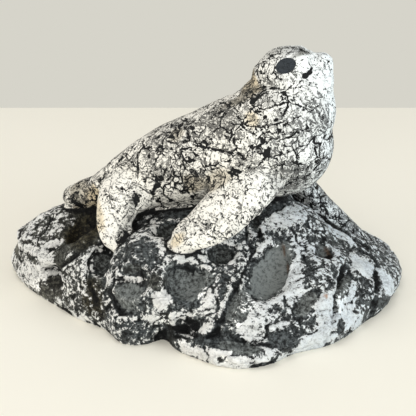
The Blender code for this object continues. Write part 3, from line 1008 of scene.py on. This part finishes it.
def paintedClay():
    material = bpy.data.materials.new("paintedClay")
    make = Maker(material)
    place = make.node("ShaderNodeTexCoord", {}, {}, "Object")
    place = make.vector("SCALE", place, scale=1 / mm)  # now in mm
    rockShare = make.note("rockShare")
    east = make.node("ShaderNodeSeparateXYZ", {}, {"Vector": place}, "X")

    # seal: white over black, crazed in plates, torn and brushed
    crackle = make.note("crackle")
    bent = make.moved(place, make.noise(place, 7.0, 3.0, 0.55, out="Color"), 7.0)
    ragged = make.moved(bent, make.noise(place, 1.9, 2.0, 0.6, out="Color"), 1.7)
    patchy = make.noise(place, 13.0, 3.0, 0.6, 0.5)
    tear = make.noise(place, 3.2, 4.0, 0.62)
    tearTwo = make.noise(bent, 2.4, 3.0, 0.62)
    plate, plateTurn = make.cells(ragged, crazing["plates"])
    chip, chipTurn = make.cells(ragged, crazing["chips"])
    wider = make.noise(place, 8.0, 2.0, 0.5) - 0.43
    widerTwo = make.noise(bent, 5.0, 2.0, 0.5) - 0.49
    swell, fray = (crackle + 0.1) * crazing["swell"], (crackle + 0.2) * crazing["fray"]
    shy = crackle * 0.30 - 0.24  # narrower where the white paint is whole
    large = make.edges(ragged, crazing["plates"]) - wider * swell - (tear - 0.5) * fray - shy
    small = make.edges(ragged, crazing["chips"]) - widerTwo * swell - (tearTwo - 0.5) * fray - shy
    fine = (patchy - 0.5) * 2.0 * crackle + (tearTwo - 0.5) * crackle
    fine = make.edges(ragged, crazing["flecks"]) - fine - shy
    frayed = (tear + tearTwo - 1.0) * crazing["handFray"]
    hand = (make.note("crackReach") + frayed).step(0.95, 0.7)
    turn = (plateTurn - 0.5) * 1.2 + (chipTurn - 0.5) * 1.2 + radians(crazing["scratchTurn"])
    along = make.node(
        "ShaderNodeVectorRotate", {"rotation_type": "Y_AXIS"}, {"Vector": bent, "Angle": turn}
    )
    along = make.vector("MULTIPLY", along, (crazing["scratchLong"], 1.0, 1.0))
    scratches = make.noise(along, crazing["scratches"], 3.0, 0.66)
    scratches = scratches + (chip - 0.5) * 0.14 + (crackle - 0.8) * 0.12
    scratches = (scratches + make.note("hatched") * 0.08).step(*crazing["scratchShare"])
    specks = make.noise(place, crazing["specks"], 3.0, 0.62)
    specks = specks + (crackle - 0.6) * 0.02 + (patchy - 0.5) * 0.16
    dark = large.step(*crazing["plateGap"]).most(small.step(*crazing["chipGap"]))
    dark = dark.most(hand).most(specks.step(*crazing["speckShare"]))
    dark = dark.most(fine.step(*crazing["fleckGap"]) * crazing["fleckDark"])
    dark = dark.most(scratches * crazing["scratchDark"])
    stain = make.noise(place, 6.0, 6.0, 0.72, 0.8).step(0.46, 0.68) * 0.16
    stain = (stain + plate.step(0.6, 1.0) * 0.12) * crackle
    # painted light: the white is warm on the left of the seal and cool on its right
    tone = make.mix(east.step(10, 60), sealPaint["warmLight"], sealPaint["coolLight"])
    tone = make.mix(0.34 + 0.26 * east.step(54, 66), sealPaint["white"], tone)
    # painted warm shade and bounce light on the seal, in tan
    tone = make.mix(make.note("warm"), tone, sealPaint["tanShade"])
    # grey over the white: painted shade where the patches mark it, and stains from the noise
    tone = make.mix(make.note("grime") * (0.35 + tear) + stain, tone, sealPaint["washAndShade"])
    marks = make.note("markReach").step(1.05, 0.9)
    marks = marks.most((make.note("seam") + (tearTwo - 0.5) * 1.4).step(0.30, 0.42))
    seal = make.mix(dark.most(marks), tone, sealPaint["crack"])
    seal = make.mix(make.note("eyeReach").step(1.01, 0.97), seal, sealPaint["eye"])

    # rock: dark clay, dry-brushed white
    lumpy = make.noise(bent, brushwork["lumps"][0], 3.0, 0.6, 0.6)
    worm = make.noise(ragged, brushwork["worms"][0], 5.0, 0.70, 0.8)
    crumbs = make.noise(place, brushwork["crumbs"][0], 3.0, 0.70)
    clouds = make.noise(place, brushwork["clouds"][0], 3.0, 0.6)
    long = make.vector("MULTIPLY", bent, (brushwork["strokeLong"], 1.0, 1.0))
    strokes = make.noise(long, brushwork["strokes"][0], 3.0, 0.7)
    pan = (make.note("panShare") + (worm - 0.5) * 1.0 + (crumbs - 0.5) * 0.6).step(0.30, 0.62)
    brushed = make.note("brushed")
    height = (lumpy - 0.5) * brushwork["lumps"][1] + (worm - 0.5) * brushwork["worms"][1]
    height = height + (crumbs - 0.5) * brushwork["crumbs"][1]
    cover = make.note("dryBrush") + height + (clouds - 0.5) * brushwork["clouds"][1]
    cover = cover - brushwork["bare"] + (strokes - 0.5) * brushwork["strokes"][1] * brushed
    thin = brushwork["thin"]
    white = cover.step(0.0, brushwork["edge"]) * (1 - thin) + cover.step(-0.9, 0.3) * thin
    pores = (worm * 0.5 + strokes * 0.5).step(0.49, 0.43).most(crumbs.step(0.42, 0.36))
    white = white * (1 - pores * (brushwork["pores"] + brushed * brushwork["brushedPores"]))
    # painted shade and black wash in the hollows; the white is dimmed there too
    cavityWashAndShade = make.note("cavityWashAndShade").least(1.0)
    rough = (worm * 0.6 + crumbs * 0.4).step(0.42, 0.60)
    rough = make.mix(rough, rockPaint["clay"], rockPaint["clayLight"])
    # the floor's tone, with its painted shade towards the steep rim
    floor = make.note("panToneAndShade") * 0.5 + (clouds - 0.5) * 0.8
    floor = (floor + (crumbs - 0.5) * 2.8 + (worm - 0.5) * 1.2 + 0.44).step(-0.1, 1.1)
    smooth = make.mix(floor, rockPaint["panDarkAndShade"], rockPaint["panLight"])
    clay = make.mix(pan, rough, smooth)
    # painted warm shade: the clay is tinted brown where the warm tint is marked and on the rock's
    # west side
    west = east.step(*brushwork["westWarmShade"]) * 0.55
    clay = make.mix(make.note("warm").most(west), clay, rockPaint["brownTintAndShade"], "MULTIPLY")
    clay = make.mix(cavityWashAndShade * (1 - pan * 0.85) * brushwork["deepest"], clay, rockPaint["deepWashAndShade"])
    # painted cool light on the east side of the rock's white
    coolLight = east.step(*brushwork["eastCoolLight"]) * 0.75
    chalk = make.mix(coolLight, rockPaint["white"], rockPaint["coolLight"])
    bright = clouds.step(0.3, 0.55) * 0.5 + cover.step(0.1, 0.8) * 0.5
    chalk = make.mix(bright, rockPaint["dull"], chalk)
    rock = make.mix(white * (1 - cavityWashAndShade * 0.4), clay, chalk)
    rock = make.mix(make.note("rust") * 0.8, rock, rockPaint["rust"], "MULTIPLY")

    inputs = make.shader.inputs
    make.feed(inputs["Base Color"], make.mix(rockShare.step(0.35, 0.65), seal, rock))
    make.feed(inputs["Specular IOR Level"], 0.2)
    make.feed(inputs["Roughness"], 0.50 + 0.25 * white * rockShare + 0.18 * (1 - rockShare))
    sealRelief = (1 - dark) * 0.45 + crumbs * 0.15
    rockRelief = white * 0.3 + height * 0.55 * (1 - pan * 0.85) + crumbs * 0.3
    relief = make.blend(rockShare, sealRelief, rockRelief)
    bump = {"Strength": 0.9, "Distance": mm, "Height": relief}
    make.feed(inputs["Normal"], make.node("ShaderNodeBump", {}, bump))
    return material


figure.obj.data.materials.clear()
figure.obj.data.materials.append(paintedClay())
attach(figure.obj, "root")
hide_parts("seal_on_rock")
print("painted")

# ---- counter, wall colour and light
stage = {
    "counter": shade(245, 241, 228),
    "wall": shade(214, 212, 202),
    "backEdge": 335,  # mm behind the figure's middle, where the counter ends
    "half": 2400,
    "counterRoughness": 0.55,
    "airTint": (1.0, 0.985, 0.96, 1),
    "ambient": 0.60,
    "lampsAimAt": 50,  # mm above the counter
}


def makeStage():
    half, back = stage["half"] * mm, stage["backEdge"] * mm
    mesh = bpy.data.meshes.new("counter")
    corners = [(-half, -half, 0), (half, -half, 0), (half, back, 0), (-half, back, 0)]
    mesh.from_pydata(corners, [], [(0, 1, 2, 3)])
    counter = bpy.data.objects.new("counter", mesh)
    bpy.context.scene.collection.objects.link(counter)
    material = bpy.data.materials.new("counterTop")
    make = Maker(material)
    make.feed(make.shader.inputs["Base Color"], stage["counter"])
    make.feed(make.shader.inputs["Roughness"], stage["counterRoughness"])
    mesh.materials.append(material)

    # the room's air lights the figure, and the wall is only seen
    world = bpy.data.worlds.new("room")
    make = Maker(world)
    rays = ("Is Camera Ray", "Is Glossy Ray", "Is Transmission Ray")
    camera, glossy, through = (make.node("ShaderNodeLightPath", out=ray) for ray in rays)
    sockets = {"Color": stage["airTint"], "Strength": stage["ambient"]}
    air = make.node("ShaderNodeBackground", {}, sockets)
    wall = make.node("ShaderNodeBackground", {}, {"Color": stage["wall"], "Strength": 1.0})
    sockets = {0: camera.most(glossy).most(through), 1: air, 2: wall}
    both = make.node("ShaderNodeMixShader", {}, sockets)
    make.feed(make.tree.nodes["World Output"].inputs["Surface"], both)
    bpy.context.scene.world = world


lamps = {
    "window": {"at": (-200, 80, 980), "size": 420, "watts": 1.55, "tint": (1.0, 0.985, 0.955)},
    "leftSoft": {"at": (-1150, -480, 420), "size": 800, "watts": 5.2, "tint": (1.0, 0.985, 0.95)},
    "frontSoft": {
        "at": (-100, -1500, 430), "size": 1000, "watts": 9.3, "tint": (1.0, 0.985, 0.955),
    },
    "rightCool": {"at": (1150, -540, 400), "size": 800, "watts": 8.5, "tint": (0.82, 0.92, 1.0)},
}


def makeLamps():
    for name, lamp in lamps.items():
        light = bpy.data.lights.new(name, "AREA")
        light.energy = lamp["watts"]
        light.size = lamp["size"] * mm
        light.color = lamp["tint"]
        holder = bpy.data.objects.new(name, light)
        holder.location = Vector(lamp["at"]) * mm
        aim = Vector((0, 0, stage["lampsAimAt"])) * mm - holder.location
        holder.visible_camera = False
        holder.rotation_euler = aim.to_track_quat("-Z", "Y").to_euler()
        bpy.context.scene.collection.objects.link(holder)


makeStage()
makeLamps()
bpy.context.scene.view_settings.view_transform = "Standard"
print("stage and light")
